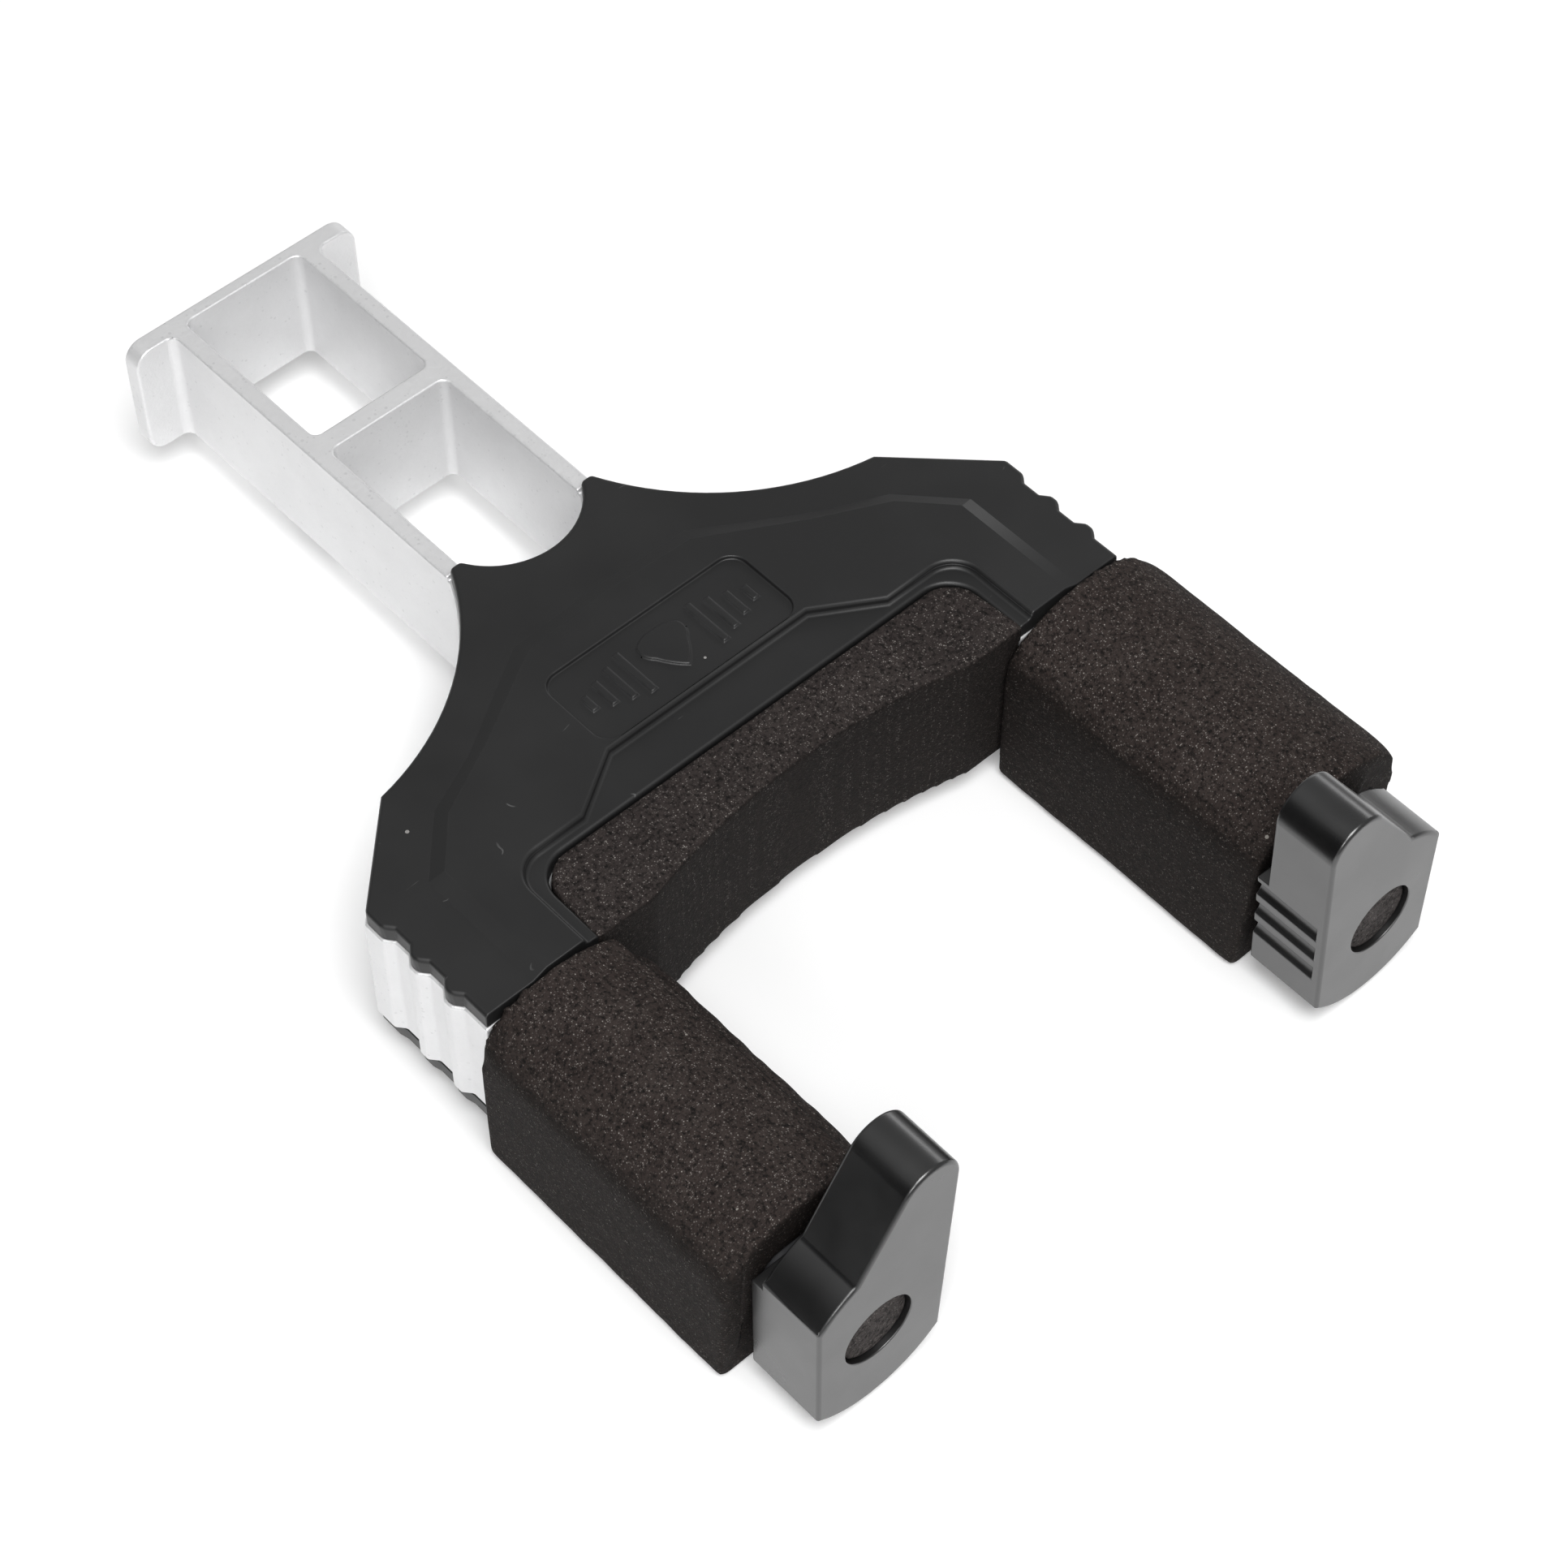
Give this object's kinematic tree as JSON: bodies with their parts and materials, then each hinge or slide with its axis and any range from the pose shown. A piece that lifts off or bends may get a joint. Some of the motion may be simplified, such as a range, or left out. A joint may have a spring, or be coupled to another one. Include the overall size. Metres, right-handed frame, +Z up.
{
  "type": "wall guitar hanger",
  "caption": "Wall hanger head for a guitar: cast arm with a wall flange, covered yoke, and foam prongs that turn under the guitar's weight to close locking gates.",
  "frame": {"origin": "centre of the flange's back face, where the hanger meets its wall plate", "axes": "+X from the wall along the arm to the prong tips, +Y to the right-hand prong for someone at the wall looking out, +Z up"},
  "size_m": [0.1623, 0.105, 0.0381],
  "materials": {
    "cast_aluminium": "as cast, blasted",
    "black_cover": "fine matte moulding",
    "cap_plastic": "satin moulding",
    "core_plastic": "matte moulding",
    "foam": "closed-cell foam",
    "plug_foam": "closed-cell foam",
    "steel": "zinc plated",
    "spring_steel": "oiled",
    "blackened_steel": "black oxide",
    "nylon": "natural nylon"
  },
  "bodies": {
    "yoke": {"yoke_casting": "cast_aluminium", "top_cover": "black_cover", "bottom_cover": "black_cover", "cover_screws": "blackened_steel", "throat_pad": "foam", "left_spindle": "steel", "left_lock_pin": "spring_steel", "left_return_spring": "spring_steel", "left_stop_pin": "steel", "left_thrust_washer": "nylon", "left_screw_washer": "steel", "left_gate_screw": "steel", "right_spindle": "steel", "right_lock_pin": "spring_steel", "right_return_spring": "spring_steel", "right_stop_pin": "steel", "right_thrust_washer": "nylon", "right_screw_washer": "steel", "right_gate_screw": "steel"},
    "left_gate": {"left_sleeve_core": "core_plastic", "left_foam_sleeve": "foam", "left_gate_cap": "cap_plastic", "left_end_plug": "plug_foam"},
    "right_gate": {"right_sleeve_core": "core_plastic", "right_foam_sleeve": "foam", "right_gate_cap": "cap_plastic", "right_end_plug": "plug_foam"}
  },
  "joints": [
    {"name": "left_gate_turn", "type": "hinge", "parent": "yoke", "child": "left_gate", "pos_m": [0.11, -0.0395, -0.0008], "axis": [-1, 0, 0], "range_deg": [0, 40], "stiffness_Nm_per_rad": 0.02, "springref_deg": -20.05},
    {"name": "right_gate_turn", "type": "hinge", "parent": "yoke", "child": "right_gate", "pos_m": [0.11, 0.0395, -0.0008], "axis": [1, 0, 0], "range_deg": [0, 40], "stiffness_Nm_per_rad": 0.02, "springref_deg": -20.05}
  ]
}
